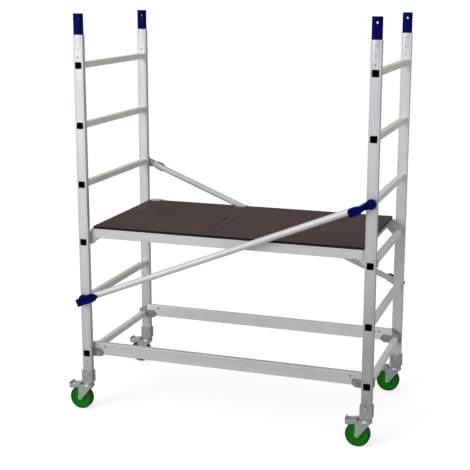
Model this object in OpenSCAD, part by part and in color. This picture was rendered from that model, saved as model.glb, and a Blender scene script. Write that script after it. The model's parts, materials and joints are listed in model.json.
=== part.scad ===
// Mobile tower scaffold: two ladder frames on swivel casters, joined by a
// hatch deck, two base rails and two diagonal braces.
// X runs along the deck, Y across the ladder frames, Z is up.
// The origin is on the floor, at the centre of the footprint.

/* [Ladder frames] */
// Distance between the centre lines of the left and right stiles
bay = 1392; // [1200:1:1600]
// Width over the outer faces of a ladder frame
frame_w = 750; // [700:1:900]
// Rung spacing
pitch = 280; // [260:1:300]
// Wide side of a stile
stile_w = 50; // [48:1:56]
// Narrow side of a stile
stile_d = 25; // [25:1:28]
// Wall thickness of a stile
stile_t = 2; // [1.6:0.1:2.2]
// Side of the square rung tube
rung_s = 28; // [27:0.5:29]
// Wall thickness of a rung
rung_t = 1.8; // [1.5:0.1:2]

/* [Spigots] */
// Height of a spigot above its stile
spigot_h = 97; // [80:1:110]
// Diameter of the locking hole through a spigot
spigot_hole_d = 11.5; // [10:0.5:12]
// Distance of the locking hole from the spigot's top
spigot_hole_drop = 26; // [22:1:34]

/* [Deck] */
// Height of the deck surface above the centre of the rung that carries it
deck_rise = 76; // [74:1:80]
// Length of the deck surface
deck_l = 1314; // [1280:1:1320]
// Width of the deck surface
deck_w = 696; // [660:1:696]
// Thickness of the plywood
ply_t = 12; // [9:1:12]
// Position of the seam between hatch and fixed panel
seam_x = -62; // [-120:1:60]

/* [Base rails] */
// Height of a base rail's section
rail_h = 60; // [56:1:62]
// Thickness of a base rail's section
rail_d = 25; // [24:1:26]

/* [Braces] */
// Diameter of a brace tube
brace_d = 30; // [28:0.5:30]

/* [Casters] */
// Wheel diameter
wheel_d = 115; // [112:1:116]
// Tyre width
wheel_w = 32; // [30:1:33]
// Distance of the axle behind the swivel axis
trail = 38; // [36:1:40]

/* [Hidden] */
$fn = 48;

// heights
n_rungs = 6;
stile_h = pitch * n_rungs;
z0 = wheel_d / 2 + 92.5;              // underside of the stiles above the floor
function rz(k) = z0 + pitch / 2 + pitch * k;
deck_z = rz(2) + deck_rise;           // deck surface
// plan positions
xs = bay / 2;
ys = frame_w / 2 - stile_d / 2;       // stile centre line
yo = frame_w / 2;                     // outer face of the stiles
yi = frame_w / 2 - stile_d;           // inner face of the stiles
x_min = -xs - trail - wheel_d / 2;
socket_w = stile_w + 11;
socket_d = stile_d + 11;
x_max = xs + socket_w / 2;
ox = -(x_min + x_max) / 2;            // puts the origin at the centre of the footprint
fit = 0.3;                            // gap between parts that move apart
run = 0.08;                           // radial play of a running fit
// braces
brace_a = atan2(2 * pitch, bay);
brace_len = sqrt(pow(2 * pitch, 2) + pow(bay, 2));
tube_w = 3.3 + 1.2 + brace_d / 2;     // tube axis in front of the stile face
// base rails
rail_z = rz(0) + 21;
rail_y = yi - 5 - rail_d / 2;
// deck
beam_h = 45;
beam_z = deck_z - ply_t - beam_h;
beam_y = deck_w / 2 - 12.5;
hinge_y = deck_w / 2 + 4.6;
hinge_z = deck_z + 0.4;
hinge_x = [-617, -137];
beam_end = 40;                        // deck beams end this far from the rung centres
// casters
axle_z = wheel_d / 2;

module at_ref() { translate([ox, 0, 0]) children(); }

// ---- outlines -------------------------------------------------------------
module rsq(w, h, r) {
  square([w - 2 * r, h], center = true);
  square([w, h - 2 * r], center = true);
  for (i = [-1, 1], j = [-1, 1]) translate([i * (w / 2 - r), j * (h / 2 - r)]) circle(r);
}
module rtube(w, h, t, r) {
  difference() { rsq(w, h, r); rsq(w - 2 * t, h - 2 * t, max(r - t, 0.5)); }
}
// extrusion along Y from y1 to y2 of an outline drawn in X and Z
module along_y(y1, y2) { translate([0, y2, 0]) rotate([90, 0, 0]) linear_extrude(y2 - y1) children(); }
// extrusion along X from x1 to x2 of an outline drawn in Y and Z
module along_x(x1, x2) { translate([x1, 0, 0]) rotate([90, 0, 90]) linear_extrude(x2 - x1) children(); }
module cyl_y(r, y1, y2) { translate([0, y1, 0]) rotate([-90, 0, 0]) cylinder(r = r, h = y2 - y1); }
module cyl_x(r, x1, x2) { translate([x1, 0, 0]) rotate([0, 90, 0]) cylinder(r = r, h = x2 - x1); }

// ---- ladder frames --------------------------------------------------------
module stile_section() {
  difference() {
    rtube(stile_w, stile_d, stile_t, 3);
    for (i = [-1, 1], j = [-1, 1]) translate([i * (stile_w / 2 - 8), j * stile_d / 2]) square([1.4, 0.9], center = true);
  }
}
// o is the outward direction in Y
module stile(x, o) {
  color([0.78, 0.78, 0.80]) at_ref() difference() {
    translate([x, o * ys, z0]) linear_extrude(stile_h) stile_section();
    for (k = [0 : n_rungs - 1]) translate([x, o * ys, rz(k)]) cube([rung_s + 0.2, stile_d + 2, rung_s + 0.2], center = true);
    // spigot rivets, hoisting hole and caster bolt
    for (z = [22, 66]) translate([x, 0, z0 + stile_h - z]) rotate([-o * 90, 0, 0]) cylinder(r = 2.6, h = yo + 1, $fn = 24);
    translate([x, 0, z0 + stile_h - 104]) rotate([-o * 90, 0, 0]) cylinder(r = 3.5, h = yo + 1, $fn = 24);
    translate([x, o * (yo - 5), z0 + 107]) rotate([-o * 90, 0, 0]) cylinder(r = 3, h = 10, $fn = 24);
    translate([x, 0, z0 + 32]) rotate([-o * 90, 0, 0]) cylinder(r = 4.2, h = yo + 1, $fn = 24);
  }
}
module rung_section() {
  difference() {
    rsq(rung_s, rung_s, 2.5);
    rsq(rung_s - 2 * rung_t, rung_s - 2 * rung_t, 1);
    for (i = [-2 : 2]) translate([i * 4.4, rung_s / 2]) square([1.6, 1.0], center = true);
  }
}
module rungs(x) {
  color([0.74, 0.71, 0.67]) at_ref()
  for (k = [0 : n_rungs - 1]) translate([x, 0, rz(k)]) {
    along_y(-yo, yo) rung_section();
    // pressed collars against the inner faces of the stiles
    for (s = [-1, 1]) along_y(s * yi - (s > 0 ? 1.5 : 0), s * yi + (s > 0 ? 0 : 1.5))
      difference() { rsq(rung_s + 6, rung_s + 6, 5); rsq(rung_s - 1.6, rung_s - 1.6, 1.5); }
  }
}
// true where a brace stud takes the place of an end plug
function is_stud(sx, o, k) = (o < 0) ? ((sx < 0 && k == 1) || (sx > 0 && k == 3)) : ((sx < 0 && k == 3) || (sx > 0 && k == 1));
module insert_y(o, depth) {
  s = rung_s - 2 * rung_t - 0.2;
  along_y(o > 0 ? yo - depth : -yo, o > 0 ? yo : -yo + depth) rsq(s, s, 0.9);
}
module rung_end_plugs() {
  color([0.03, 0.03, 0.03]) at_ref()
  for (sx = [-1, 1], o = [-1, 1], k = [0 : n_rungs - 1]) if (!is_stud(sx, o, k))
    translate([sx * xs, 0, rz(k)]) {
      insert_y(o, 12);
      along_y(o > 0 ? yo : -yo - 3, o > 0 ? yo + 3 : -yo) rsq(rung_s + 2.4, rung_s + 2.4, 4);
    }
}
module brace_studs() {
  color([0.62, 0.63, 0.64]) at_ref()
  for (sx = [-1, 1], o = [-1, 1], k = [0 : n_rungs - 1]) if (is_stud(sx, o, k))
    translate([sx * xs, 0, rz(k)]) {
      insert_y(o, 16);
      along_y(o > 0 ? yo : -yo - 3, o > 0 ? yo + 3 : -yo) rsq(34, 34, 4);
      rotate([-o * 90, 0, 0]) translate([0, 0, yo - 10]) cylinder(r = 6, h = 33);
    }
}

// ---- spigots --------------------------------------------------------------
module spigot_outline(w, d, c) {
  // flat faces with broad bevels towards the corners
  polygon([[-w/2, -d/2 + c * 0.55], [-w/2 + c, -d/2], [w/2 - c, -d/2], [w/2, -d/2 + c * 0.55],
           [w/2, d/2 - c * 0.55], [w/2 - c, d/2], [-w/2 + c, d/2], [-w/2, d/2 - c * 0.55]]);
}
// silhouette with a bevelled top, for the wide and the narrow side
module spigot_side(w, top, run_in) {
  polygon([[-w/2, 0], [w/2, 0], [w/2, spigot_h - top], [w/2 - run_in, spigot_h], [-w/2 + run_in, spigot_h], [-w/2, spigot_h - top]]);
}
module spigots(x) {
  wi = stile_w - 2 * stile_t;
  di = stile_d - 2 * stile_t;
  // the upper half slides into the next frame's stiles
  w = wi - 0.4;
  d = di - 0.4;
  color([0.03, 0.09, 0.36]) at_ref()
  for (o = [-1, 1]) translate([x, o * ys, z0 + stile_h]) difference() {
    union() {
      translate([0, 0, -100]) linear_extrude(100) rsq(wi, di, 1);
      intersection() {
        linear_extrude(spigot_h) spigot_outline(w, d, 7.5);
        along_y(-20, 20) spigot_side(w, 2.5, 2);
        along_x(-30, 30) spigot_side(d, 2.5, 2);
      }
    }
    translate([0, 0, spigot_h - spigot_hole_drop]) cyl_y(spigot_hole_d / 2, -stile_d, stile_d);
    // hollow core
    translate([0, 0, -101]) linear_extrude(101 + spigot_h - spigot_hole_drop - 16) rsq(wi - 10, di - 8, 2);
    for (z = [22, 66]) translate([0, 0, -z]) cyl_y(2.6, -stile_d, stile_d);
  }
}
module spigot_rivets() {
  color([0.55, 0.56, 0.58]) at_ref()
  for (sx = [-1, 1], o = [-1, 1], z = [22, 66]) translate([sx * xs, o * ys, z0 + stile_h - z]) {
    cyl_y(2.5, -stile_d / 2, stile_d / 2);
    for (s = [-1, 1]) translate([0, s * stile_d / 2, 0]) rotate([-s * 90, 0, 0]) cylinder(r1 = 4.6, r2 = 3.2, h = 1.6);
  }
}

// ---- caster sockets -------------------------------------------------------
module caster_sockets() {
  color([0.55, 0.58, 0.56]) at_ref()
  for (sx = [-1, 1], o = [-1, 1]) translate([sx * xs, o * ys, z0]) difference() {
    union() {
      linear_extrude(50) difference() { rsq(socket_w, socket_d, 6); square([stile_w + 0.1, stile_d + 0.1], center = true); }
      translate([0, 0, -6]) linear_extrude(6) rsq(socket_w, socket_d, 6);
      // boss that carries the upper race
      intersection() {
        translate([0, 0, -13]) linear_extrude(7) rsq(socket_w, socket_d, 6);
        translate([0, 0, -13]) cylinder(r1 = 25, r2 = 31, h = 7);
      }
    }
    // thumb notches in the rims of the wide sides
    translate([0, 0, 50]) cyl_y(8, -40, 40);
    translate([0, 0, 32]) cyl_y(4.2, -40, 40);
    // seat of the king pin
    translate([0, 0, -14]) cylinder(r = 6.05, h = 12);
  }
}
module socket_bolts() {
  h = socket_d / 2;
  color([0.70, 0.70, 0.68]) at_ref()
  for (sx = [-1, 1], o = [-1, 1]) translate([sx * xs, o * ys, z0 + 32]) {
    cyl_y(4, -h, h + 6);
    translate([0, -h, 0]) rotate([90, 0, 0]) cylinder(r = 8.4, h = 1.2);
    translate([0, -h - 1.2, 0]) rotate([90, 0, 0]) cylinder(r = 7, h = 4.3, $fn = 6);
    translate([0, h, 0]) rotate([-90, 0, 0]) cylinder(r = 7, h = 5, $fn = 6);
  }
}
// upper race, king pin and its head below the fork crown
module swivel_bearings() {
  color([0.66, 0.67, 0.68]) at_ref()
  for (sx = [-1, 1], o = [-1, 1]) translate([sx * xs, o * ys, 0]) {
    translate([0, 0, z0 - 18.6]) cylinder(r = 26.5, h = 5.6);
    translate([0, 0, z0 - 34]) cylinder(r = 6, h = 32);
    translate([0, 0, z0 - 38.5]) cylinder(r1 = 6.5, r2 = 9, h = 6.2);
  }
}

// ---- base rails -----------------------------------------------------------
rail_end = 20;                        // rails end this far from the rung centres
hook_l = 76;                          // reach of a rail hook's cheeks from the rung
screw_x = -58;                        // wing screw, from the rung centre
screw_z = 4;
module base_rail(o) {
  color([0.80, 0.80, 0.81]) at_ref() difference() {
    translate([0, o * rail_y, rail_z]) along_x(-xs + rail_end, xs - rail_end) rtube(rail_d, rail_h, 2, 2.5);
    for (s = [-1, 1]) {
      translate([s * (xs + screw_x), o * rail_y, rz(0) + screw_z]) cyl_y(4.8, -20, 20);
      translate([s * (xs - 84), o * rail_y, rz(0) + 34]) cyl_y(3.05, -20, 20);
    }
    // shallow grooves along the outer side
    for (z = [-15, 0, 15]) translate([-xs + 40, o * (rail_y + rail_d / 2) - 0.5, rail_z + z - 0.8]) cube([2 * xs - 80, 1, 1.6]);
  }
}
// cast hook over the rung: a plug inside the rail end, a short jaw below it and a cheek on each side
module rail_hooks(o) {
  r = rung_s / 2 + fit;
  h = rail_d / 2;
  color([0.52, 0.55, 0.54]) at_ref()
  for (s = [-1, 1]) translate([s * xs, o * rail_y, rz(0)]) mirror([s < 0 ? 1 : 0, 0, 0]) {
    difference() {
      union() {
        // plug in the rail
        translate([-96, 0, rail_z - rz(0)]) along_x(0, 96 - rail_end + 1) rsq(rail_d - 4.1, rail_h - 4.1, 0.8);
        // hook over the rung
        along_y(-h, h) polygon([[-rail_end, 49], [-15, 49], [-8, 38], [8, 30], [19, 29], [26, 23], [26, -12], [r, -12], [r, r], [-r, r],
                                [-r, -20], [-60, -18], [-70, -9.2], [-rail_end, -9.2]]);
        // cheeks joined under the rail
        for (c = [-1, 1]) translate([0, c * (h + 1.5), 0]) along_y(-1.5, 1.5)
          polygon([[-hook_l, 8], [-hook_l, -5], [-69, -11], [-60, -18], [-17, -19.5], [-17, 14], [-30, 22], [-62, 22]]);
        along_y(-h - 3, h + 3) polygon([[-60, -18], [-17, -19.5], [-17, -9.2], [-69, -9.2], [-69, -11]]);
      }
      translate([screw_x, 0, screw_z]) cyl_y(4 + run, -h - 5, h + 5);
    }
    // rivet through the rail and the plug
    translate([-84, 0, 34]) {
      cyl_y(3, -h - 1, h + 1);
      for (c = [-1, 1]) translate([0, c * h, 0]) rotate([-c * 90, 0, 0]) cylinder(r1 = 5.6, r2 = 4, h = 2);
    }
  }
}
// wing screw through the cheeks; both wings slope down to the right as seen from its own side
module wing_screw(s, o) {
  h = rail_d / 2 + 3;
  color([0.40, 0.43, 0.42]) at_ref()
  translate([s * (xs + screw_x), o * rail_y, rz(0) + screw_z]) rotate([0, 0, o < 0 ? 0 : 180]) {
    cyl_y(4, -h - 1, h + 1);
    translate([0, h + 0.3, 0]) rotate([-90, 0, 0]) cylinder(r = 6.8, h = 2.2);
    rotate([90, 0, 0]) translate([0, 0, h + 0.3]) {
      cylinder(r = 7.5, h = 6);
      rotate([0, 0, -48]) translate([0, 0, 0.8]) linear_extrude(4.4) difference() {
        union() {
          for (i = [-1, 1]) translate([i * 15.5, 0]) circle(7);
          polygon([[-15.5, -7], [-5, -5.5], [5, -5.5], [15.5, -7], [15.5, 7], [5, 5.5], [-5, 5.5], [-15.5, 7]]);
        }
        for (i = [-1, 1]) translate([i * 16.5, 0]) circle(3);
      }
    }
  }
}

// ---- deck -----------------------------------------------------------------
module deck_beam(o) {
  color([0.80, 0.80, 0.82]) at_ref()
  translate([0, o * beam_y, beam_z + beam_h / 2]) along_x(-xs + beam_end, xs - beam_end) difference() {
    rtube(25, beam_h, 2, 2);
    for (z = [-12, 12]) translate([o * 12.5, z]) square([0.9, 1.6], center = true);
  }
}
module deck_cross_members() {
  color([0.76, 0.76, 0.78]) at_ref()
  difference() {
    for (p = [[-xs + 68.5, 25], [seam_x, 50], [(seam_x + xs - 68.5) / 2, 25], [xs - 68.5, 25]])
      translate([p[0], 0, deck_z - ply_t - 20]) along_y(-beam_y + 12.5, beam_y - 12.5) rtube(p[1], 40, 2, 2);
    for (p = fixed_rivets()) translate([p[0], p[1], deck_z - ply_t - 5]) cylinder(r = 3.1, h = 8, $fn = 24);
  }
}
// hooks: outline in X and Z about the rung centre
module hook_outline() {
  r = rung_s / 2 + fit;
  polygon([[-beam_end, 62], [-27, 62], [-19, 40], [-9, 30], [8, 27], [19, 27], [26, 20], [26, -12], [r, -12], [r, r], [-r, r],
           [-r, -13], [-30, -13], [-62, 19], [-beam_end, 19]]);
}
module deck_hooks() {
  color([0.60, 0.60, 0.57]) at_ref()
  for (s = [-1, 1], o = [-1, 1]) translate([s * xs, o * (yi - 17.5), rz(2)]) mirror([s < 0 ? 1 : 0, 0, 0]) {
    along_y(-12, 12) hook_outline();
    // tongue inside the deck beam
    translate([-80, o * (beam_y - yi + 17.5), 41.5]) along_x(0, 42) rsq(20.9, beam_h - 4.1, 1);
  }
}
module ply(x1, x2, gap) {
  translate([(x1 + x2) / 2, 0, deck_z - ply_t + gap]) linear_extrude(ply_t - gap) rsq(x2 - x1, deck_w, 3);
}
module deck_panel() {
  color([0.30, 0.24, 0.23]) at_ref() difference() {
    ply(seam_x + 1, deck_l / 2, 0);
    for (p = fixed_rivets()) translate([p[0], p[1], deck_z]) {
      translate([0, 0, -ply_t - 1]) cylinder(r = 3.1, h = ply_t + 2, $fn = 24);
      translate([0, 0, -2.6]) cylinder(r1 = 3.1, r2 = 7.1, h = 3);
    }
  }
}
function fixed_rivets() = [for (x = [seam_x + 18, deck_l / 2 - 26], y = [-deck_w / 2 + 44, deck_w / 2 - 44]) [x, y]];
module deck_rivets() {
  color([0.62, 0.62, 0.62]) at_ref() for (p = fixed_rivets()) translate([p[0], p[1], 0]) {
    // countersunk head flush with the deck, formed head inside the cross member
    translate([0, 0, deck_z - 2.5]) cylinder(r1 = 3, r2 = 6.4, h = 2.5);
    translate([0, 0, deck_z - ply_t - 3]) cylinder(r = 3, h = ply_t + 1, $fn = 24);
    translate([0, 0, deck_z - ply_t - 3.8]) cylinder(r1 = 3.4, r2 = 4.6, h = 1.7);
  }
}
// butt hinges at the rear edge: the barrel is split in three, the outer thirds stay with the deck
module hinge_fixed_leaves() {
  yb = deck_w / 2;
  color([0.66, 0.66, 0.66]) at_ref() for (x = hinge_x) translate([x, 0, 0]) difference() {
    union() {
      for (s = [-1, 1]) {
        translate([0, hinge_y, hinge_z]) cyl_x(4.2, s > 0 ? 12.3 : -30, s > 0 ? 30 : -12.3);
        translate([s > 0 ? 12.3 : -30, yb + 0.4, deck_z - 14]) cube([17.7, 2, 14]);
      }
      translate([-30, yb + 0.4, deck_z - 16]) cube([60, 2, 10]);
      translate([-30, yb, deck_z - 40]) cube([60, 2.4, 26]);
    }
    translate([0, hinge_y, hinge_z]) cyl_x(2.5, -31, 31);
  }
}
module hinge_pins() {
  color([0.58, 0.58, 0.57]) at_ref() for (x = hinge_x) translate([x, hinge_y, hinge_z]) {
    cyl_x(2.5, -30, 30);
    for (s = [-1, 1]) translate([s > 0 ? 30 : -31.4, 0, 0]) cyl_x(3.6, 0, 1.4);
  }
}
module hatch_hinge_leaves() {
  color([0.72, 0.72, 0.72]) at_ref() for (x = hinge_x) translate([x, 0, 0]) {
    difference() {
      union() {
        translate([0, hinge_y, hinge_z]) cyl_x(4.2, -12, 12);
        translate([-12, deck_w / 2 - 4, deck_z]) cube([24, 8.6, 2]);
        translate([-26, deck_w / 2 - 34, deck_z]) cube([52, 32, 2]);
      }
      translate([0, hinge_y, hinge_z]) cyl_x(2.5 + run, -31, 31);
    }
    for (i = [-1, 1], j = [0, 1]) translate([i * 17, deck_w / 2 - 10 - j * 15, deck_z + 2]) cylinder(r1 = 4, r2 = 2.8, h = 1.2);
  }
}
module hatch_panel() {
  color([0.29, 0.23, 0.22]) at_ref() difference() {
    ply(-deck_l / 2, seam_x - 1, fit);
    // finger hole near the seam
    translate([seam_x - 54, 16, deck_z - ply_t - 1]) cylinder(r = 13, h = ply_t + 2);
  }
}

// ---- braces ---------------------------------------------------------------
// Brace frame: u along the tube from the stud, v upwards across it, w outwards from the stile face.
// front brace: from the left frame's low stud to the right frame's high stud
module front_low() { translate([-xs, -yo, rz(1)]) rotate([90, 0, 0]) rotate([0, 0, brace_a]) children(); }
module front_high() { translate([xs, -yo, rz(3)]) rotate([90, 0, 0]) rotate([0, 0, brace_a]) mirror([1, 0, 0]) children(); }
module rear_side() { rotate([0, 0, 180]) children(); }
module brace_tube() {
  front_low() translate([48.3, 0, tube_w]) rotate([0, 90, 0]) difference() {
    cylinder(r = brace_d / 2, h = brace_len - 96.6);
    translate([0, 0, -1]) cylinder(r = brace_d / 2 - 1.5, h = brace_len - 94.6);
  }
}
module brace_end() {
  difference() {
    union() {
      translate([0, 0, 3.3]) cylinder(r = 17, h = 8);
      translate([0, -17, 3.3]) cube([40, 34, 8]);
      translate([37, -14, 3.3]) cube([11, 28, tube_w - 3.3]);
      translate([37, 0, tube_w]) rotate([0, 90, 0]) cylinder(r = brace_d / 2, h = 11);
      translate([46, 0, tube_w]) rotate([0, 90, 0]) cylinder(r = brace_d / 2 - 1.6, h = 44);
    }
    // slot that drops over the stud, wider at its mouth
    translate([0, 0, 2]) cylinder(r = 6 + run, h = 12);
    translate([0, 0, 2]) linear_extrude(12) polygon([[-6.08, 0], [6.08, 0], [8.6, -18], [-8.6, -18]]);
  }
}
module brace_ends() { front_low() brace_end(); front_high() brace_end(); }
// clamping lever of the high ends: round head on the stud, handle along the outside of the tube
module lever_shape() {
  difference() {
    union() {
      translate([0, 0, 11.6]) cylinder(r = 22, h = 3);
      translate([0, 0, 13]) cylinder(r = 24, h = 11);
      translate([0, 0, 24]) cylinder(r1 = 24, r2 = 20.5, h = 2.4);
      intersection() {
        rotate([90, 0, 0]) translate([0, 0, -28]) linear_extrude(56)
          polygon([[6, 13], [19, 13], [33.4, 34.9], [108, 35.2], [108, 40.5], [104, 43.5], [34, 43.5], [24, 36], [12, 26], [6, 26]]);
        translate([0, 0, 10]) linear_extrude(40)
          polygon([[0, -17], [22, -14.5], [36, -14], [45, -19], [58, -23], [78, -25], [96, -25.5], [106, -21], [106, -4], [103, 9], [96, 14], [84, 16],
                   [72, 16], [58, 13.5], [46, 11.5], [32, 12.4], [22, 14.5], [0, 17]]);
      }
    }
    translate([0, 0, 11]) cylinder(r = 6 + run, h = 13);
    // grip flutes round the head
    for (a = [60 : 30 : 300]) rotate([0, 0, a]) translate([27.6, 0, 10]) cylinder(r = 5, h = 20);
  }
}
// clamping lever of the low ends: the handle lies across the head, square behind the stud, pointed along the tube
module low_lever_shape() {
  difference() {
    union() {
      translate([0, 0, 11.6]) cylinder(r = 22, h = 3);
      translate([0, 0, 13]) cylinder(r = 24, h = 13);
      translate([0, 0, 26]) cylinder(r1 = 24, r2 = 21, h = 2.4);
      translate([0, -2, 24]) cylinder(r = 18, h = 12);
      translate([0, 0, 35]) linear_extrude(6)
        polygon([[-31, -25], [-32, 11], [-27, 13], [20, 13], [46, 14.5], [66, 14], [78, 9], [87, 0], [87, -8], [76, -18], [62, -24], [38, -25], [0, -24], [-24, -26]]);
      translate([0, 0, 41]) linear_extrude(2.5)
        polygon([[-28, -21], [-29, 8], [20, 9], [46, 10.5], [64, 10], [75, 6], [83, -2], [83, -7], [73, -15], [60, -20], [0, -20]]);
    }
    translate([0, 0, 11]) cylinder(r = 6 + run, h = 13);
    for (a = [15 : 30 : 345]) rotate([0, 0, a]) translate([27.6, 0, 10]) cylinder(r = 5, h = 20);
  }
}

// ---- casters --------------------------------------------------------------
module at_caster(sx, o) { at_ref() translate([sx * xs, o * ys, 0]) children(); }
crown_z = z0 - 32;                    // underside of the fork crown
pedal_x = -44;                        // pedal pivot
pedal_z = z0 - 24;
module fork_cheek() {
  difference() {
    union() {
      polygon([[-52, crown_z + 9], [-40, crown_z + 13], [-36, crown_z + 4], [22, crown_z + 4], [22, crown_z - 2], [14, crown_z - 10],
               [-trail + 12, axle_z - 1], [-trail - 12, axle_z], [-trail - 10, axle_z + 14], [-trail - 9.5, axle_z + 38], [-trail - 13, crown_z - 9], [-52, crown_z - 5]]);
      translate([-trail, axle_z]) circle(12.2);
      translate([pedal_x, pedal_z]) circle(8);
    }
    translate([-trail, axle_z]) circle(5.05);
  }
}
module fork(sx, o) {
  color([0.60, 0.63, 0.62]) at_caster(sx, o) difference() {
    union() {
      for (c = [-1, 1]) translate([0, c * 21.75, 0]) along_y(-1.75, 1.75) fork_cheek();
      // crown plate with the lower race
      translate([-36, -23.5, crown_z]) cube([58, 47, 4]);
      translate([0, 0, crown_z]) cylinder(r = 28, h = 4);
      translate([0, 0, crown_z + 4]) cylinder(r1 = 27.5, r2 = 24.5, h = 9);
      // pivot pin of the brake pedal
      translate([pedal_x, 0, pedal_z]) cyl_y(3, -27, 27);
      for (c = [-1, 1]) translate([pedal_x, c * 26.9, pedal_z]) rotate([-c * 90, 0, 0]) cylinder(r1 = 4.8, r2 = 4, h = 1.2);
    }
    translate([0, 0, crown_z - 1]) cylinder(r = 6 + run, h = 16);
  }
}
module axle(sx, o) {
  color([0.72, 0.72, 0.70]) at_caster(sx, o) translate([-trail, 0, axle_z]) {
    cyl_y(5, -23.5, 30.5);
    translate([0, -23.5, 0]) rotate([90, 0, 0]) cylinder(r = 8.8, h = 5, $fn = 6);
    translate([0, 23.6, 0]) rotate([-90, 0, 0]) cylinder(r = 8.8, h = 5.6, $fn = 6);
  }
}
module wheel_core(sx, o) {
  r = wheel_d / 2 - 9.5;
  color([0.06, 0.42, 0.09]) at_caster(sx, o) translate([-trail, 0, axle_z]) rotate([90, 0, 0]) rotate_extrude($fn = 96)
    polygon([[5 + run, -19.7], [16, -19.7], [17.5, -18], [19, -11], [r - 9, -11], [r - 6, -14.6], [r, -14.6],
             [r, 14.6], [r - 6, 14.6], [r - 9, 11], [19, 11], [17.5, 18], [16, 19.7], [5 + run, 19.7]]);
}
module tyre(sx, o) {
  ri = wheel_d / 2 - 9.5;
  re = wheel_d / 2;
  w = wheel_w / 2;
  color([0.30, 0.10, 0.06]) at_caster(sx, o) translate([-trail, 0, axle_z]) rotate([90, 0, 0]) rotate_extrude($fn = 96) {
    translate([ri, -w]) square([re - ri - 4, wheel_w]);
    translate([ri, -w + 4]) square([re - ri, wheel_w - 8]);
    for (s = [-1, 1]) translate([re - 4, s * (w - 4)]) circle(4);
  }
}
module brake_pedal(sx, o) {
  px = pedal_x;
  pz = pedal_z;
  color([0.62, 0.64, 0.65]) at_caster(sx, o) difference() {
    union() {
      // side flanges outside the fork cheeks
      for (c = [-1, 1]) translate([0, c * 25.3, 0]) along_y(-1.5, 1.5) {
        translate([px, pz]) circle(7.5);
        polygon([[px + 5, pz + 5.5], [px + 2, pz - 7], [px - 12, pz - 16], [-84, pz - 21], [-92, pz - 19], [-94.5, pz - 9], [-93, pz - 2], [px, pz + 7.5]]);
      }
      // tread plate with its upturned lip
      along_y(-26.8, 26.8)
        polygon([[-54.5, pz - 5], [-54.5, pz - 2], [-88, pz - 2], [-90.5, pz + 0.5], [-91.5, pz + 8], [-94.5, pz + 8], [-94, pz - 2], [-90.5, pz - 5]]);
      // brake shoe over the tyre
      along_y(-13, 13) polygon([[-54.5, pz - 5], [-54.5, pz - 11], [-66, pz - 15], [-66, pz - 5]]);
    }
    for (c = [-1, 1]) translate([px, 0, pz]) cyl_y(3 + run, c > 0 ? 20 : -30, c > 0 ? 30 : -20);
    // stamped slot in the tread plate
    translate([-86, -10, pz - 10]) cube([11, 20, 20]);
  }
}

// ---- nodes ----------------------------------------------------------------
module stile_front_left() { stile(-xs, -1); }
module stile_rear_left() { stile(-xs, 1); }
module stile_front_right() { stile(xs, -1); }
module stile_rear_right() { stile(xs, 1); }
module rungs_left() { rungs(-xs); }
module rungs_right() { rungs(xs); }
module spigots_left() { spigots(-xs); }
module spigots_right() { spigots(xs); }
module lever_color() { color([0.02, 0.05, 0.32]) at_ref() children(); }
module tube_color() { color([0.84, 0.84, 0.84]) at_ref() children(); }

stile_front_left();
stile_rear_left();
stile_front_right();
stile_rear_right();
rungs_left();
rungs_right();
rung_end_plugs();
spigots_left();
spigots_right();
spigot_rivets();
brace_studs();
caster_sockets();
socket_bolts();
swivel_bearings();
base_rail(-1);  // rail_front
base_rail(1);  // rail_rear
rail_hooks(-1);  // rail_hooks_front
rail_hooks(1);  // rail_hooks_rear
wing_screw(-1, -1);  // wing_screw_front_left
wing_screw(1, -1);  // wing_screw_front_right
wing_screw(-1, 1);  // wing_screw_rear_left
wing_screw(1, 1);  // wing_screw_rear_right
deck_beam(-1);  // deck_beam_front
deck_beam(1);  // deck_beam_rear
deck_cross_members();
deck_hooks();
deck_panel();
deck_rivets();
hinge_fixed_leaves();
hinge_pins();
hatch_panel();
hatch_hinge_leaves();
tube_color() brace_tube();  // brace_front_tube
color([0.66, 0.66, 0.66]) at_ref() brace_ends();  // brace_front_ends
tube_color() rear_side() brace_tube();  // brace_rear_tube
color([0.66, 0.66, 0.66]) at_ref() rear_side() brace_ends();  // brace_rear_ends
lever_color() front_low() low_lever_shape();  // clamp_lever_front_left
lever_color() front_high() lever_shape();  // clamp_lever_front_right
lever_color() rear_side() front_high() lever_shape();  // clamp_lever_rear_left
lever_color() rear_side() front_low() low_lever_shape();  // clamp_lever_rear_right
fork(-1, -1);  // fork_front_left
axle(-1, -1);  // axle_front_left
wheel_core(-1, -1);  // wheel_core_front_left
tyre(-1, -1);  // tyre_front_left
brake_pedal(-1, -1);  // brake_pedal_front_left
fork(1, -1);  // fork_front_right
axle(1, -1);  // axle_front_right
wheel_core(1, -1);  // wheel_core_front_right
tyre(1, -1);  // tyre_front_right
brake_pedal(1, -1);  // brake_pedal_front_right
fork(-1, 1);  // fork_rear_left
axle(-1, 1);  // axle_rear_left
wheel_core(-1, 1);  // wheel_core_rear_left
tyre(-1, 1);  // tyre_rear_left
brake_pedal(-1, 1);  // brake_pedal_rear_left
fork(1, 1);  // fork_rear_right
axle(1, 1);  // axle_rear_right
wheel_core(1, 1);  // wheel_core_rear_right
tyre(1, 1);  // tyre_rear_right
brake_pedal(1, 1);  // brake_pedal_rear_right
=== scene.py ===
import bpy, bmesh, math, json
from mathutils import Vector, Matrix

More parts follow.
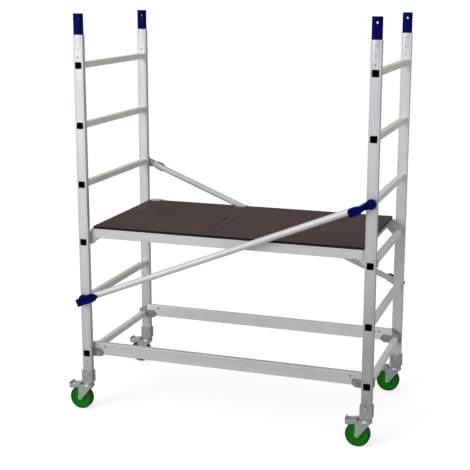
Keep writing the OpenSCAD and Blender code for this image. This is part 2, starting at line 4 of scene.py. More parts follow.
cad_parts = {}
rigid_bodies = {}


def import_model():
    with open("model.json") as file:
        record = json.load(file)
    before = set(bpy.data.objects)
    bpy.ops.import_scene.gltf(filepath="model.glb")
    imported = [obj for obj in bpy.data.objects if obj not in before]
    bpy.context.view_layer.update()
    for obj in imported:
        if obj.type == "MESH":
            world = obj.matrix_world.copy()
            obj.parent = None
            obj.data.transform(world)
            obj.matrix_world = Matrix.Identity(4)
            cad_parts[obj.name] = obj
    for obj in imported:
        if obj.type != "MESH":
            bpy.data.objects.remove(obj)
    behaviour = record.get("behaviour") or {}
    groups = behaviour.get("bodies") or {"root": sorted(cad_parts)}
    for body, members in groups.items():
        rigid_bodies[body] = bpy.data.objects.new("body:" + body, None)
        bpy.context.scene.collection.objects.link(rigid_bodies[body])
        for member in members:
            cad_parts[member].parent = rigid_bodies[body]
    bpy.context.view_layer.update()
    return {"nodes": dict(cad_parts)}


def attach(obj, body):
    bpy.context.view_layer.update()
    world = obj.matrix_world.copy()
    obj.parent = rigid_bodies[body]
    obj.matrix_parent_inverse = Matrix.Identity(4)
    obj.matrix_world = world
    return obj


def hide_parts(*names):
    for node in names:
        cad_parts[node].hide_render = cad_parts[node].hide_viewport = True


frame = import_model()
nodes = frame["nodes"]

scene = bpy.context.scene
scene.view_settings.view_transform = "Standard"
scene.view_settings.look = "None"
scene.view_settings.exposure = 0.0
scene.view_settings.gamma = 1.0

OX = 0.0325                      # row frame: the towers's mid plane sits at x = OX
XS, YO, YS = 0.696, 0.375, 0.3625
SIDES = {"front_left": (-1, -1), "front_right": (1, -1), "rear_left": (-1, 1), "rear_right": (1, 1)}


# ---------------------------------------------------------------- camera
def rot_axes(yaw, pitch, roll):
    cy, sy = math.cos(yaw), math.sin(yaw)
    cp, sp = math.cos(pitch), math.sin(pitch)
    cr, sr = math.cos(roll), math.sin(roll)
    f = Vector((sy * cp, cy * cp, sp))
    r = Vector((cy, -sy, 0))
    u = r.cross(f)
    return cr * r + sr * u, f, -sr * r + cr * u


def make_camera():
    f_px, px, py = 1068.3, 235.0, 216.0
    loc = (1.5985 + OX, -4.8492, 2.0520)
    r, f, u = rot_axes(math.radians(-18.854), math.radians(-12.173), math.radians(0.035))
    cd = bpy.data.cameras.new("camera")
    cd.sensor_width = 36.0
    cd.lens = f_px / 470 * 36.0
    cd.shift_x = (235 - px) / 470
    cd.shift_y = (py - 235) / 470
    cd.clip_start, cd.clip_end = 0.05, 200
    cam = bpy.data.objects.new("camera", cd)
    m = Matrix.Identity(4)
    for i in range(3):
        m[i][0], m[i][1], m[i][2], m[i][3] = r[i], u[i], -f[i], loc[i]
    cam.matrix_world = m
    scene.collection.objects.link(cam)
    scene.camera = cam
    return cam


make_camera()


# ---------------------------------------------------------------- node helpers
def new_mat(name):
    m = bpy.data.materials.new(name)
    m.use_nodes = True
    nt = m.node_tree
    for n in list(nt.nodes):
        nt.nodes.remove(n)
    out = nt.nodes.new("ShaderNodeOutputMaterial")
    bs = nt.nodes.new("ShaderNodeBsdfPrincipled")
    nt.links.new(bs.outputs[0], out.inputs[0])
    return m, nt, bs


def coords(nt, scale=(1, 1, 1)):
    tc = nt.nodes.new("ShaderNodeTexCoord")
    mp = nt.nodes.new("ShaderNodeMapping")
    mp.inputs["Scale"].default_value = scale
    nt.links.new(tc.outputs["Object"], mp.inputs["Vector"])
    return mp.outputs["Vector"]


def noise(nt, vec, scale, detail=3.0, rough=0.55):
    n = nt.nodes.new("ShaderNodeTexNoise")
    n.inputs["Scale"].default_value = scale
    n.inputs["Detail"].default_value = detail
    n.inputs["Roughness"].default_value = rough
    nt.links.new(vec, n.inputs["Vector"])
    return n.outputs["Fac"]


def remap(nt, fac, a, b, lo=0.0, hi=1.0):
    m = nt.nodes.new("ShaderNodeMapRange")
    m.inputs["From Min"].default_value = a
    m.inputs["From Max"].default_value = b
    m.inputs["To Min"].default_value = lo
    m.inputs["To Max"].default_value = hi
    nt.links.new(fac, m.inputs["Value"])
    return m.outputs["Result"]


def math_node(nt, op, a, b=None):
    m = nt.nodes.new("ShaderNodeMath")
    m.operation = op
    for i, v in enumerate((a, b)):
        if v is None:
            continue
        if isinstance(v, (int, float)):
            m.inputs[i].default_value = v
        else:
            nt.links.new(v, m.inputs[i])
    return m.outputs[0]


def mix_col(nt, fac, a, b, mode="MIX"):
    m = nt.nodes.new("ShaderNodeMix")
    m.data_type = "RGBA"
    m.blend_type = mode
    if isinstance(fac, (int, float)):
        m.inputs[0].default_value = fac
    else:
        nt.links.new(fac, m.inputs[0])
    for i, v in ((6, a), (7, b)):
        if isinstance(v, (tuple, list)):
            m.inputs[i].default_value = (*v[:3], 1)
        else:
            nt.links.new(v, m.inputs[i])
    return m.outputs[2]


def bump(nt, bs, height, strength, dist, prev=None):
    b = nt.nodes.new("ShaderNodeBump")
    b.inputs["Strength"].default_value = strength
    b.inputs["Distance"].default_value = dist
    nt.links.new(height, b.inputs["Height"])
    if prev is not None:
        nt.links.new(prev, b.inputs["Normal"])
    nt.links.new(b.outputs["Normal"], bs.inputs["Normal"])
    return b.outputs["Normal"]


def sep_xyz(nt, vec):
    s = nt.nodes.new("ShaderNodeSeparateXYZ")
    nt.links.new(vec, s.inputs[0])
    return s.outputs


def obj_normal(nt):
    tc = nt.nodes.new("ShaderNodeTexCoord")
    return sep_xyz(nt, tc.outputs["Normal"])


# ---------------------------------------------------------------- materials
def aluminium(name, col, axis, rough=0.42, metallic=0.35, streak=0.05, cloud=0.05, painted_shade=0.0):
    """Extruded or drawn aluminium: streaks along the profile, faint oxide clouds, fine scratches, and optionally
    painted shade towards the floor.
    """
    m, nt, bs = new_mat(name)
    fine = {"x": (5, 900, 900), "y": (900, 5, 900), "z": (900, 900, 5)}[axis]
    v1 = coords(nt, fine)
    s = noise(nt, v1, 1.0, 4, 0.6)
    mid = {"x": (1.2, 60, 60), "y": (60, 1.2, 60), "z": (60, 60, 1.2)}[axis]
    s2 = noise(nt, coords(nt, mid), 1.0, 2, 0.5)
    c = noise(nt, coords(nt), 7.0, 4, 0.6)
    lo = [k * (1 - streak) for k in col]
    hi = [min(1, k * (1 + streak)) for k in col]
    base = mix_col(nt, remap(nt, s, 0.3, 0.7), lo, hi)
    dark = [k * (1 - 1.5 * cloud) for k in (0.97, 0.99, 1.0)]
    base = mix_col(nt, remap(nt, c, 0.35, 0.7), base, mix_col(nt, 1.0, base, dark, "MULTIPLY"))
    base = mix_col(nt, remap(nt, s2, 0.4, 0.75, 0, 0.5), base, mix_col(nt, 1.0, base, (0.95, 0.95, 0.96), "MULTIPLY"))
    if painted_shade > 0:
        # painted shade: darker and slightly yellow towards the floor, more so on the right-hand frame
        xyz = sep_xyz(nt, coords(nt))
        painted_shade_mask = remap(nt, math_node(nt, "ADD", xyz[2], math_node(nt, "MULTIPLY", xyz[0], -0.42)), -0.16, 0.86, 1.0, 0.0)
        painted_shade_mask = math_node(nt, "MULTIPLY", painted_shade_mask, remap(nt, c, 0.25, 0.6, 0.88, 1.0))
        base = mix_col(nt, math_node(nt, "MULTIPLY", painted_shade_mask, painted_shade), base, mix_col(nt, 1.0, base, (0.56, 0.565, 0.50), "MULTIPLY"))
    # thin scratches
    vo = nt.nodes.new("ShaderNodeTexVoronoi")
    vo.feature = "DISTANCE_TO_EDGE"
    vo.inputs["Scale"].default_value = 22
    nt.links.new(coords(nt, {"x": (0.6, 3, 2.4), "y": (3, 0.6, 2.4), "z": (2.4, 3, 0.6)}[axis]), vo.inputs["Vector"])
    scr = remap(nt, vo.outputs["Distance"], 0.0, 0.006, 1.0, 0.0)
    scr = math_node(nt, "MULTIPLY", scr, remap(nt, noise(nt, coords(nt), 31, 2), 0.55, 0.62))
    base = mix_col(nt, math_node(nt, "MULTIPLY", scr, 0.35), base, [min(1, k * 1.15) for k in col])
    nt.links.new(base, bs.inputs["Base Color"])
    bs.inputs["Metallic"].default_value = metallic
    r = math_node(nt, "ADD", remap(nt, s, 0.2, 0.8, rough - 0.06, rough + 0.07), remap(nt, c, 0.3, 0.7, -0.03, 0.05))
    nt.links.new(r, bs.inputs["Roughness"])
    h = math_node(nt, "ADD", math_node(nt, "MULTIPLY", s, 0.6), math_node(nt, "MULTIPLY", scr, -0.6))
    bump(nt, bs, h, 0.25, 0.0004)
    return m


def cast_metal(name, col, rough=0.5, metallic=0.4, grain=260, tint=(0.9, 0.95, 0.9), spangle=0.0):
    """Cast or zinc-plated parts: fine grain, cloudy plating."""
    m, nt, bs = new_mat(name)
    g = noise(nt, coords(nt), grain, 4, 0.6)
    c = noise(nt, coords(nt), 34, 4, 0.65)
    base = mix_col(nt, remap(nt, c, 0.35, 0.68), [k * 1.06 for k in col], [k * t * 0.88 for k, t in zip(col, tint)])
    base = mix_col(nt, remap(nt, g, 0.35, 0.65, 0, 0.35), base, [k * 0.8 for k in col])
    if spangle > 0:
        vo = nt.nodes.new("ShaderNodeTexVoronoi")
        vo.inputs["Scale"].default_value = 190
        nt.links.new(coords(nt), vo.inputs["Vector"])
        base = mix_col(nt, spangle, base, mix_col(nt, 1.0, base, mix_col(nt, 0.35, (1, 1, 1), vo.outputs["Color"]), "MULTIPLY"))
    nt.links.new(base, bs.inputs["Base Color"])
    bs.inputs["Metallic"].default_value = metallic
    nt.links.new(remap(nt, c, 0.3, 0.7, rough - 0.08, rough + 0.1), bs.inputs["Roughness"])
    n1 = bump(nt, bs, g, 0.3, 0.0006)
    bump(nt, bs, c, 0.12, 0.001, n1)
    return m


def plastic(name, col, rough=0.4, spec=0.5, grain=900, vary=0.12, coat=0.0, lift=0.03):
    """Moulded plastic: spark-eroded grain, slight colour flow, scuffed roughness."""
    m, nt, bs = new_mat(name)
    g = noise(nt, coords(nt), grain, 3, 0.6)
    c = noise(nt, coords(nt), 42, 4, 0.6)
    base = mix_col(nt, remap(nt, c, 0.3, 0.7), [k * (1 - vary) for k in col], [k * (1 + vary) for k in col])
    sc = noise(nt, coords(nt, (3, 3, 9)), 70, 5, 0.75)
    scuff = remap(nt, sc, 0.64, 0.76)
    base = mix_col(nt, math_node(nt, "MULTIPLY", scuff, 0.12), base, [min(1, k * 1.6 + lift) for k in col])
    nt.links.new(base, bs.inputs["Base Color"])
    bs.inputs["Specular IOR Level"].default_value = spec
    bs.inputs["Coat Weight"].default_value = coat
    bs.inputs["Coat Roughness"].default_value = 0.2
    nt.links.new(math_node(nt, "ADD", remap(nt, c, 0.3, 0.7, rough - 0.05, rough + 0.05), math_node(nt, "MULTIPLY", scuff, 0.15)), bs.inputs["Roughness"])
    bump(nt, bs, g, 0.25, 0.0003)
    return m


def spigot_material(name):
    """Blue injection-moulded spigot: saturated side faces, near-black painted shade on the rounded corners and on faces
    that turn up or down, faint drawing lines.
    """
    m, nt, bs = new_mat(name)
    nz = obj_normal(nt)
    big = math_node(nt, "MAXIMUM", math_node(nt, "ABSOLUTE", nz[1]), math_node(nt, "ABSOLUTE", nz[0]))
    # painted shade: near-black wherever the surface turns away from the x and y sides
    painted_shade_corner = remap(nt, big, 0.985, 0.93, 0.0, 1.0)
    c = noise(nt, coords(nt, (1, 1, 0.4)), 42, 4, 0.6)
    face = mix_col(nt, remap(nt, c, 0.3, 0.7), (0.0006, 0.0022, 0.105), (0.0010, 0.0050, 0.135))
    base = mix_col(nt, painted_shade_corner, face, (0.0010, 0.0022, 0.022))
    s = noise(nt, coords(nt, (900, 900, 6)), 1.0, 3, 0.6)
    g = noise(nt, coords(nt), 900, 3, 0.6)
    scuff = remap(nt, noise(nt, coords(nt, (2.5, 2.5, 7)), 60, 5, 0.75), 0.66, 0.78)
    base = mix_col(nt, math_node(nt, "MULTIPLY", scuff, 0.05), base, (0.02, 0.03, 0.14))
    nt.links.new(base, bs.inputs["Base Color"])
    bs.inputs["Specular IOR Level"].default_value = 0.02
    nt.links.new(remap(nt, s, 0.3, 0.7, 0.38, 0.52), bs.inputs["Roughness"])
    n1 = bump(nt, bs, g, 0.2, 0.0002)
    bump(nt, bs, s, 0.1, 0.0002, n1)
    return m


def label_material(name):
    """Blank paper label under clear film: off-white, faint smudges."""
    m, nt, bs = new_mat(name)
    c = noise(nt, coords(nt), 30, 4, 0.6)
    base = mix_col(nt, remap(nt, c, 0.35, 0.7), (0.70, 0.72, 0.78), (0.63, 0.66, 0.73))
    nt.links.new(base, bs.inputs["Base Color"])
    bs.inputs["Specular IOR Level"].default_value = 0.35
    nt.links.new(remap(nt, c, 0.3, 0.7, 0.24, 0.36), bs.inputs["Roughness"])
    return m


def deck_material(name, x_mid):
    """Film-faced birch plywood: brown phenolic film with a pressed wire-mesh pattern on top, sealed black edges."""
    m, nt, bs = new_mat(name)
    big = noise(nt, coords(nt, (1.0, 2.2, 1)), 4.5, 5, 0.62)
    blot = noise(nt, coords(nt, (1, 1.6, 1)), 17, 5, 0.7)
    grain = noise(nt, coords(nt, (6, 160, 1)), 1.0, 4, 0.6)
    c1, c2, c3 = (0.080, 0.042, 0.040), (0.058, 0.038, 0.036), (0.092, 0.042, 0.042)
    base = mix_col(nt, remap(nt, big, 0.35, 0.66), c1, c2)
    base = mix_col(nt, remap(nt, blot, 0.48, 0.72, 0, 0.75), base, c3)
    base = mix_col(nt, remap(nt, grain, 0.35, 0.7, 0, 0.28), base, (0.046, 0.029, 0.028))
    # rubbed tracks, lighter where feet have polished the film
    wear = noise(nt, coords(nt, (2.0, 1.0, 1)), 3.1, 6, 0.7)
    worn = remap(nt, wear, 0.56, 0.76)
    base = mix_col(nt, math_node(nt, "MULTIPLY", worn, 0.22), base, (0.13, 0.095, 0.09))
    # pressed mesh: two families of fine ridges
    tc = coords(nt)
    xyz = sep_xyz(nt, tc)
    k = 2 * math.pi / 0.0032
    a = math_node(nt, "SINE", math_node(nt, "MULTIPLY", math_node(nt, "ADD", xyz[0], math_node(nt, "MULTIPLY", xyz[1], 0.58)), k))
    b = math_node(nt, "SINE", math_node(nt, "MULTIPLY", math_node(nt, "SUBTRACT", xyz[0], math_node(nt, "MULTIPLY", xyz[1], 0.58)), k))
    mesh = math_node(nt, "MAXIMUM", a, b)
    base = mix_col(nt, remap(nt, mesh, 0.2, 1.0, 0, 0.10), base, (0.05, 0.038, 0.036))
    # sides of the panel: sealed, almost black, with thin ply lines
    nz = obj_normal(nt)[2]
    side = remap(nt, math_node(nt, "ABSOLUTE", nz), 0.45, 0.75, 1.0, 0.0)
    ply = math_node(nt, "SINE", math_node(nt, "MULTIPLY", xyz[2], 2 * math.pi / 0.0014))
    edge = mix_col(nt, remap(nt, ply, 0.2, 1.0), (0.010, 0.009, 0.009), (0.017, 0.014, 0.013))
    base = mix_col(nt, side, base, edge)
    nt.links.new(base, bs.inputs["Base Color"])
    bs.inputs["Specular IOR Level"].default_value = 0.10
    r = math_node(nt, "ADD", remap(nt, blot, 0.3, 0.7, 0.52, 0.64), math_node(nt, "MULTIPLY", worn, -0.08))
    nt.links.new(r, bs.inputs["Roughness"])
    n1 = bump(nt, bs, mesh, 0.22, 0.0005)
    bump(nt, bs, grain, 0.10, 0.0006, n1)
    return m


def wheel_green(name):
    """Green polyamide core: bright green web with a slight mottle, fine grain in the bump."""
    m, nt, bs = new_mat(name)
    g = noise(nt, coords(nt), 60, 4, 0.6)
    base = mix_col(nt, remap(nt, g, 0.3, 0.7), (0.001, 0.165, 0.002), (0.002, 0.225, 0.003))
    fine = noise(nt, coords(nt), 700, 3, 0.6)
    nt.links.new(base, bs.inputs["Base Color"])
    bs.inputs["Specular IOR Level"].default_value = 0.08
    nt.links.new(remap(nt, g, 0.3, 0.7, 0.34, 0.44), bs.inputs["Roughness"])
    bump(nt, bs, fine, 0.2, 0.0003)
    return m


def tread_material(name):
    """Cast polyurethane tyre: dark green side walls, oxblood tread, dusty where it has rolled."""
    m, nt, bs = new_mat(name)
    g = noise(nt, coords(nt), 48, 5, 0.65)
    f = noise(nt, coords(nt), 520, 3, 0.6)
    tread = mix_col(nt, remap(nt, g, 0.3, 0.7), (0.060, 0.012, 0.007), (0.100, 0.022, 0.012))
    wall = mix_col(nt, remap(nt, g, 0.3, 0.7), (0.004, 0.052, 0.006), (0.006, 0.075, 0.009))
    ny = math_node(nt, "ABSOLUTE", obj_normal(nt)[1])
    base = mix_col(nt, remap(nt, ny, 0.55, 0.85), tread, wall)
    base = mix_col(nt, remap(nt, f, 0.55, 0.8, 0, 0.16), base, (0.10, 0.08, 0.06))
    nt.links.new(base, bs.inputs["Base Color"])
    bs.inputs["Specular IOR Level"].default_value = 0.25
    nt.links.new(remap(nt, g, 0.3, 0.7, 0.45, 0.6), bs.inputs["Roughness"])
    bump(nt, bs, f, 0.3, 0.0004)
    return m


MAT = {
    # stile aluminium with strong painted shade towards the floor
    "stile": aluminium("aluminium_stile", (0.665, 0.68, 0.71), "z", metallic=0.5, painted_shade=0.95),
    # painted light: a lighter copy of the stile aluminium, with little painted shade, for the rear right stile
    "stile_painted_light": aluminium("aluminium_stile_rear", (0.74, 0.75, 0.765), "z", metallic=0.4, painted_shade=0.25),
    "rail": aluminium("aluminium_rail", (0.66, 0.66, 0.65), "x", metallic=0.5),
    # painted light: a lighter copy of the rail aluminium for the rear rail
    "rail_rear": aluminium("aluminium_rail_rear", (0.82, 0.82, 0.82), "x", metallic=0.4),
    "beam": aluminium("aluminium_beam", (0.64, 0.645, 0.65), "x", rough=0.55, metallic=0.35),
    "cross": aluminium("aluminium_cross", (0.62, 0.62, 0.63), "y", metallic=0.5),
    "rung": aluminium("aluminium_rung", (0.93, 0.89, 0.835), "y", rough=0.5, metallic=0.15),
    "brace": aluminium("aluminium_brace", (0.68, 0.68, 0.69), "x", rough=0.5, metallic=0.3),
    "cast": cast_metal("cast_aluminium", (0.58, 0.585, 0.56)),
    "hook": cast_metal("cast_hook", (0.30, 0.33, 0.315), rough=0.55),
    "zinc": cast_metal("zinc_plated", (0.50, 0.53, 0.51), rough=0.34, metallic=0.6, grain=420, spangle=0.3),
    "socket": cast_metal("socket_steel", (0.40, 0.43, 0.41), rough=0.46, metallic=0.45, grain=380, spangle=0.2),
    "fastener": cast_metal("fastener_steel", (0.56, 0.56, 0.55), rough=0.34, metallic=0.7, grain=600),
    "blue": plastic("blue_plastic", (0.0010, 0.0010, 0.085), rough=0.42, spec=0.05, coat=0.0, lift=0.004),
    "dull": cast_metal("worn_rivet", (0.11, 0.09, 0.085), rough=0.6, metallic=0.2),
    "spigot": spigot_material("spigot_plastic"),
    "black": plastic("black_plastic", (0.0012, 0.0012, 0.0013), rough=0.75, spec=0.0, vary=0.3, lift=0.004),
    "green": wheel_green("green_core"),
    "tread": tread_material("tread"),
    "deck": deck_material("deck_plywood", 0.0),
    "label": label_material("blank_label"),
}


def assign(name, key):
    o = nodes[name]
    o.data.materials.clear()
    o.data.materials.append(MAT[key])
    return o


ASSIGN = {
    "stile": ["stile_front_left", "stile_rear_left", "stile_front_right"],
    "stile_painted_light": ["stile_rear_right"],
    "rung": ["rungs_left", "rungs_right"],
    "black": ["rung_end_plugs"],
    "spigot": ["spigots_left", "spigots_right"],
    "fastener": ["spigot_rivets", "brace_studs", "socket_bolts", "hinge_fixed_leaves", "hinge_pins", "hatch_hinge_leaves"],
    "dull": ["deck_rivets"],
    "socket": ["caster_sockets"],
    "zinc": ["swivel_bearings"],
    "rail": ["rail_front"],
    "rail_rear": ["rail_rear"],
    "hook": ["rail_hooks_front", "rail_hooks_rear"],
    "cast": ["deck_hooks", "brace_front_ends", "brace_rear_ends"],
    "beam": ["deck_beam_front", "deck_beam_rear"],
    "cross": ["deck_cross_members"],
    "deck": ["deck_panel", "hatch_panel"],
    "brace": ["brace_front_tube", "brace_rear_tube"],
    "blue": [], "green": [], "tread": [],
}
for s in SIDES:
    ASSIGN["hook"].append("wing_screw_" + s)
    ASSIGN["blue"].append("clamp_lever_" + s)
    ASSIGN["zinc"] += ["fork_" + s, "brake_pedal_" + s]
    ASSIGN["fastener"].append("axle_" + s)
    ASSIGN["green"].append("wheel_core_" + s)
    ASSIGN["tread"].append("tyre_" + s)
for key, names in ASSIGN.items():
    for n in names:
        assign(n, key)


# ---------------------------------------------------------------- shapes
def body_of(name):
    return nodes[name].parent.name.split(":", 1)[1]


def soften(name, width=0.0006, seg=2, angle=32):
    """Rounded edges on a carried-over node: weld the split corners, bevel, even out the normals."""
    o = nodes[name]
    for p in o.data.polygons:
        p.use_smooth = True
    w = o.modifiers.new("weld", "WELD")
    w.merge_threshold = 2e-6
    b = o.modifiers.new("bevel", "BEVEL")
    b.width = width
    b.segments = seg
    b.limit_method = "ANGLE"
    b.angle_limit = math.radians(angle)
    b.use_clamp_overlap = True
    b.miter_outer = "MITER_ARC"
    n = o.modifiers.new("normals", "WEIGHTED_NORMAL")
    n.mode = "FACE_AREA_WITH_ANGLE"
    n.weight = 60
    n.keep_sharp = False


def evaluated(me, mods):
    """Mesh me after the modifiers that mods adds."""
    t = bpy.data.objects.new("tmp", me)
    scene.collection.objects.link(t)
    mods(t)
    dg = bpy.context.evaluated_depsgraph_get()
    dg.update()
    out = bpy.data.meshes.new_from_object(t.evaluated_get(dg))
    bpy.data.objects.remove(t)
    return out


def smooth_copy(name, voxel, smooth=4, faces=9000):
    """Soft-edged version of a CAD solid: voxel remesh, relax."""
    me = nodes[name].data.copy()
    bm = bmesh.new()
    bm.from_mesh(me)
    bmesh.ops.remove_doubles(bm, verts=bm.verts, dist=2e-6)
    bm.to_mesh(me)
    bm.free()

    def m1(t):
        r = t.modifiers.new("r", "REMESH")
        r.mode = "VOXEL"
        r.voxel_size = voxel
        r.adaptivity = 0.0
        k = t.modifiers.new("s", "SMOOTH")
        k.factor = 0.5
        k.iterations = smooth
    out = evaluated(me, m1)
    return out


def thin(me, faces):
    n = len(me.polygons) * 2

    def m2(t):
        d = t.modifiers.new("d", "DECIMATE")
        d.ratio = min(1.0, faces / n)
    return evaluated(me, m2)


def add_piece(name, me, mat, body, replaces=None):
    me.materials.clear()
    me.materials.append(MAT[mat])
    for p in me.polygons:
        p.use_smooth = True
        p.material_index = 0
    o = bpy.data.objects.new(name, me)
    scene.collection.objects.link(o)
    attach(o, body)
    if replaces:
        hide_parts(replaces)
    return o


def sstep(a, b, x):
    t = min(1.0, max(0.0, (x - a) / (b - a)))
    return t * t * (3 - 2 * t)


A = math.atan2(0.56, 1.392)
CA, SA = math.cos(A), math.sin(A)
LEVER = {
    "front_left": (Vector((-XS + OX, -YO, 0.570)), Vector((CA, 0, SA)), Vector((-SA, 0, CA)), Vector((0, -1, 0)), "low"),
    "front_right": (Vector((XS + OX, -YO, 1.130)), Vector((-CA, 0, -SA)), Vector((-SA, 0, CA)), Vector((0, -1, 0)), "high"),
    "rear_right": (Vector((XS + OX, YO, 0.570)), Vector((-CA, 0, SA)), Vector((SA, 0, CA)), Vector((0, 1, 0)), "low"),
    "rear_left": (Vector((-XS + OX, YO, 1.130)), Vector((CA, 0, -SA)), Vector((SA, 0, CA)), Vector((0, 1, 0)), "high"),
}


def make_levers():
    """Moulded clamping levers: ring and cap on the head, grip ribs on the neck, dished handle."""
    for side, (o, u, v, w, kind) in LEVER.items():
        me = smooth_copy("clamp_lever_" + side, 0.0009, 5)
        mn = [tuple(vt.normal) for vt in me.vertices]
        for i, vt in enumerate(me.vertices):
            d = vt.co - o
            pu, pv, pw = d.dot(u) * 1000, d.dot(v) * 1000, d.dot(w) * 1000
            nw = Vector(mn[i]).dot(w)
            r = math.hypot(pu, pv)
            dw = 0.0
            if kind == "high":
                if nw > 0.6 and pu < 17 and pw > 23:
                    dw -= 1.3 * math.exp(-((r - 14.5) / 1.3) ** 2)
                    dw += 1.6 * sstep(10.5, 7.5, r)
                if 19 < pu < 36 and nw > 0.2:
                    dw += 1.1 * max(math.exp(-((pu - 23.5) / 1.1) ** 2), math.exp(-((pu - 28.5) / 1.1) ** 2), math.exp(-((pu - 33.5) / 1.1) ** 2))
                if pu > 42 and nw > 0.6:
                    edge = min(pu - 44, 103 - pu, 26 - abs(pv + 4.5) * 1.25)
                    dw -= 1.7 * sstep(1.0, 7.0, edge)
                    dw += 0.8 * sstep(2, 7, edge) * max(0.0, math.cos((pu - 60) * 2 * math.pi / 8.0))
            else:
                if nw > 0.6 and pw > 40:
                    edge = min(pu + 27, 82 - pu, 24 - abs(pv + 6) * 1.35)
                    dw -= 1.3 * sstep(1.0, 6.0, edge)
                    if pu < 20:
                        dw += 0.8 * sstep(2, 6, edge) * max(0.0, math.cos((pu + 10) * 2 * math.pi / 8.0))
            if dw:
                vt.co = vt.co + w * (dw / 1000)
            if kind == "low":
                # the handle's upper edge is crowned; on the rear lever the tail is cut short
                if pv > 4 and pu > 14:
                    vt.co = vt.co + v * (0.0052 * sstep(4, 14, pv) * sstep(14, 30, pu) * sstep(84, 62, pu) * (1.0 if side == "rear_right" else 0.55))
                if side == "rear_right" and pu < -18 and pw > 30:
                    vt.co = vt.co - u * ((pu + 18) * 0.72 / 1000)
        me = thin(me, 14000)
        add_piece("lever_" + side, me, "blue", "clamp_lever_" + side, "clamp_lever_" + side)


def make_casters():
    """Pressed and plated forks and pedals with rolled edges; one of each, set four times."""
    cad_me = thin(smooth_copy("fork_front_left", 0.0010, 4), 26000)
    pd_me = thin(smooth_copy("brake_pedal_front_left", 0.0010, 4), 15000)
    for side, (sx, sy) in SIDES.items():
        t = Matrix.Translation(((sx + 1) * XS, (sy + 1) * YS, 0))
        for base, me in (("fork_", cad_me), ("brake_pedal_", pd_me)):
            c = me.copy()
            c.transform(t)
            add_piece(base.replace("brake_", "") + "shell_" + side, c, "zinc", body_of(base + side), base + side)


def ring_mesh(bm, centre, axis, profile, seg=24):
    """Turned solid: profile of (radius, height) along axis, closed at both ends."""
    ax = Vector(axis).normalized()
    a = Vector((1, 0, 0)) if abs(ax.x) < 0.9 else Vector((0, 0, 1))
    e1 = (a - ax * a.dot(ax)).normalized()
    e2 = ax.cross(e1)
    rings = []
    for r, h in profile:
        if r <= 0:
            rings.append([bm.verts.new(Vector(centre) + ax * h)])
        else:
            rings.append([bm.verts.new(Vector(centre) + ax * h + (e1 * math.cos(2 * math.pi * k / seg) + e2 * math.sin(2 * math.pi * k / seg)) * r) for k in range(seg)])
    for a, b in zip(rings, rings[1:]):
        for k in range(seg):
            k2 = (k + 1) % seg
            if len(a) == 1:
                bm.faces.new((a[0], b[k2], b[k]))
            elif len(b) == 1:
                bm.faces.new((a[k], a[k2], b[0]))
            else:
                bm.faces.new((a[k], a[k2], b[k2], b[k]))


def make_rivets():
    """Domed rivet in each stile below the lowest rung."""
    bm = bmesh.new()
    for side, (sx, sy) in SIDES.items():
        c = (sx * XS + OX, sy * YO, 0.257)
        ring_mesh(bm, c, (0, sy, 0), [(0, -0.0015), (0.0028, -0.0015), (0.0028, 0.0002), (0.0056, 0.0002), (0.0054, 0.0009), (0.0042, 0.0018), (0.0022, 0.0024), (0, 0.0026)])
    bmesh.ops.recalc_face_normals(bm, faces=bm.faces)
    me = bpy.data.meshes.new("stile_rivets")
    bm.to_mesh(me)
    bm.free()
    add_piece("stile_rivets", me, "fastener", "ladder_frames")


def make_label():
    """Blank label on the front left stile, flat, with rounded corners."""
    x, y, z0, z1 = -XS + OX, -YO, 1.300, 1.640
    w, t, r = 0.0195, 0.00035, 0.004
    bm = bmesh.new()
    prof = [(-w, 0), (-w, t), (w, t), (w, 0)]
    n = 10
    rows = []
    for i in range(n + 1):
        z = z0 + (z1 - z0) * i / n
        inset = 0.0
        rows.append([bm.verts.new((x + px * (1 - inset), y - py, z)) for px, py in prof])
    for a, b in zip(rows, rows[1:]):
        for k in range(4):
            k2 = (k + 1) % 4
            bm.faces.new((a[k], a[k2], b[k2], b[k]))
    bm.faces.new(rows[0][::-1])
    bm.faces.new(rows[-1])
    bmesh.ops.recalc_face_normals(bm, faces=bm.faces)
    ve = [e for e in bm.edges if abs(e.verts[0].co.y - e.verts[1].co.y) > t * 0.5 and (abs(e.verts[0].co.z - z0) < 1e-6 or abs(e.verts[0].co.z - z1) < 1e-6)]
    bmesh.ops.bevel(bm, geom=ve, offset=r, segments=4, affect="EDGES", profile=0.5)
    me = bpy.data.meshes.new("blank_label")
    bm.to_mesh(me)
    bm.free()
    o = add_piece("blank_label", me, "label", "ladder_frames")
    return o


make_levers()
make_casters()
make_rivets()
for n in ("stile_front_left", "stile_rear_left", "stile_front_right", "stile_rear_right"):
    soften(n, 0.0005)
for n in ("rungs_left", "rungs_right", "rail_front", "rail_rear", "deck_beam_front", "deck_beam_rear", "deck_cross_members"):
    soften(n, 0.0005)
for n in ("rail_hooks_front", "rail_hooks_rear", "deck_hooks", "brace_front_ends", "brace_rear_ends", "caster_sockets"):
    soften(n, 0.0011, 3)
for n in ("rung_end_plugs", "brace_studs", "spigots_left", "spigots_right", "hatch_hinge_leaves", "hinge_fixed_leaves", "swivel_bearings", "socket_bolts"):
    soften(n, 0.0007, 2)
for n in ("deck_panel", "hatch_panel"):
    soften(n, 0.0008, 2)
for s in SIDES:
    soften("wing_screw_" + s, 0.0010, 3)
    soften("axle_" + s, 0.0006, 2)
    soften("wheel_core_" + s, 0.0008, 2)


# ---------------------------------------------------------------- stage and light
def ray_mix(nt, seen, other):
    """seen for what the camera sees directly, other for the light it gives."""
    lp = nt.nodes.new("ShaderNodeLightPath")
    mx = nt.nodes.new("ShaderNodeMixShader")
    nt.links.new(lp.outputs["Is Camera Ray"], mx.inputs[0])
    nt.links.new(other, mx.inputs[1])
    nt.links.new(seen, mx.inputs[2])
    return mx.outputs[0]


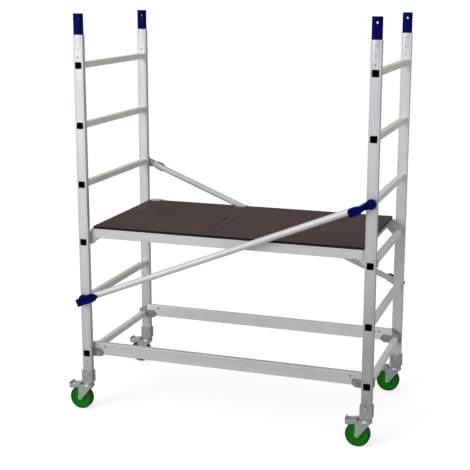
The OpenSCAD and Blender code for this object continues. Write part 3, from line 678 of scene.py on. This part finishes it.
def make_stage():
    me = bpy.data.meshes.new("floor")
    s = 40.0
    me.from_pydata([(-s, -s, 0), (s, -s, 0), (s, s, 0), (-s, s, 0)], [], [(0, 1, 2, 3)])
    o = bpy.data.objects.new("floor", me)
    scene.collection.objects.link(o)
    m, nt, bs = new_mat("floor")
    n = noise(nt, coords(nt), 3.0, 2)
    nt.links.new(mix_col(nt, remap(nt, n, 0.3, 0.7), (0.55, 0.55, 0.55), (0.57, 0.57, 0.57)), bs.inputs["Base Color"])
    bs.inputs["Roughness"].default_value = 0.9
    bs.inputs["Specular IOR Level"].default_value = 0.0
    em = nt.nodes.new("ShaderNodeEmission")
    em.inputs["Color"].default_value = (1, 1, 1, 1)
    em.inputs["Strength"].default_value = 0.66
    add = nt.nodes.new("ShaderNodeAddShader")
    nt.links.new(bs.outputs[0], add.inputs[0])
    nt.links.new(em.outputs[0], add.inputs[1])
    out = [k for k in nt.nodes if k.type == "OUTPUT_MATERIAL"][0]
    nt.links.new(ray_mix(nt, add.outputs[0], bs.outputs[0]), out.inputs[0])
    me.materials.append(m)
    w = bpy.data.worlds.new("world")
    scene.world = w
    w.use_nodes = True
    nt = w.node_tree
    for nn in list(nt.nodes):
        nt.nodes.remove(nn)
    out = nt.nodes.new("ShaderNodeOutputWorld")
    white = nt.nodes.new("ShaderNodeBackground")
    white.inputs["Color"].default_value = (1, 1, 1, 1)
    white.inputs["Strength"].default_value = 1.05
    # soft boxes to the left, in front and above; darker to the right
    tc = nt.nodes.new("ShaderNodeTexCoord")
    d = sep_xyz(nt, tc.outputs["Generated"])
    k = math_node(nt, "ADD", math_node(nt, "MULTIPLY", d[0], -0.18), math_node(nt, "MULTIPLY", d[1], -0.14))
    k = math_node(nt, "ADD", k, math_node(nt, "MULTIPLY", d[2], 0.26))
    k = math_node(nt, "MAXIMUM", math_node(nt, "ADD", k, 0.47), 0.06)
    soft = nt.nodes.new("ShaderNodeBackground")
    soft.inputs["Color"].default_value = (1, 1, 1, 1)
    nt.links.new(k, soft.inputs["Strength"])
    nt.links.new(ray_mix(nt, white.outputs[0], soft.outputs[0]), out.inputs[0])

    def area(name, loc, target, size, power):
        ld = bpy.data.lights.new(name, "AREA")
        ld.shape = "DISK"
        ld.size = size
        ld.energy = power
        lo = bpy.data.objects.new(name, ld)
        lo.location = loc
        dd = Vector(target) - Vector(loc)
        lo.rotation_euler = dd.to_track_quat("-Z", "Y").to_euler()
        scene.collection.objects.link(lo)
    area("key", (-4.8, -8.0, 4.2), (0, 0, 1.0), 7.0, 400)


make_stage()
